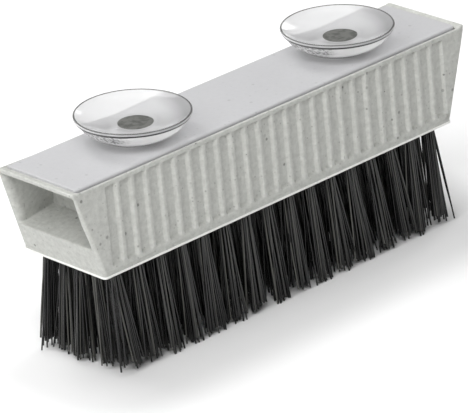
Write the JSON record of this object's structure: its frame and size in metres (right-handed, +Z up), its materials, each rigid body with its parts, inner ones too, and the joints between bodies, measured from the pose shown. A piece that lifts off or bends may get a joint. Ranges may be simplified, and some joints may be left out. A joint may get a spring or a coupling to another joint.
{
  "type": "nail brush",
  "caption": "Nail brush with a fluted oblong plastic body, open pockets in its ends, dark tufted bristles below and clear suction cups on top.",
  "frame": {"origin": "on the floor, midway along and across the brush, which stands on its bristle tips", "axes": "+X along the brush, +Y across it towards the back, +Z up, from the bristle tips to the suction cups"},
  "size_m": [0.1196, 0.0256, 0.0514],
  "materials": {
    "moulded_grey": "satin, light grey with fine dark and pale fibre flecks",
    "clear_vinyl": "clear, glossy soft plastic",
    "black_filament": "semi-gloss black filament"
  },
  "bodies": {
    "brush": {"body_shell": "moulded_grey", "top_plate": "moulded_grey", "bristle_base": "moulded_grey", "bristle_row_01": "black_filament", "bristle_row_02": "black_filament", "bristle_row_03": "black_filament", "bristle_row_04": "black_filament", "bristle_row_05": "black_filament", "bristle_row_06": "black_filament", "bristle_row_07": "black_filament", "bristle_row_08": "black_filament", "bristle_row_09": "black_filament", "bristle_row_10": "black_filament", "bristle_row_11": "black_filament", "bristle_row_12": "black_filament", "bristle_row_13": "black_filament", "bristle_row_14": "black_filament", "bristle_row_15": "black_filament", "bristle_row_16": "black_filament"},
    "left_cup": {"suction_cup_left": "clear_vinyl"},
    "right_cup": {"suction_cup_right": "clear_vinyl"}
  },
  "joints": [
    {"name": "left_cup_swivel", "type": "hinge", "parent": "brush", "child": "left_cup", "pos_m": [-0.0311, 0, 0.0453], "axis": [0, 0, 1], "continuous": true},
    {"name": "right_cup_swivel", "type": "hinge", "parent": "brush", "child": "right_cup", "pos_m": [0.0311, 0, 0.0453], "axis": [0, 0, 1], "continuous": true}
  ]
}
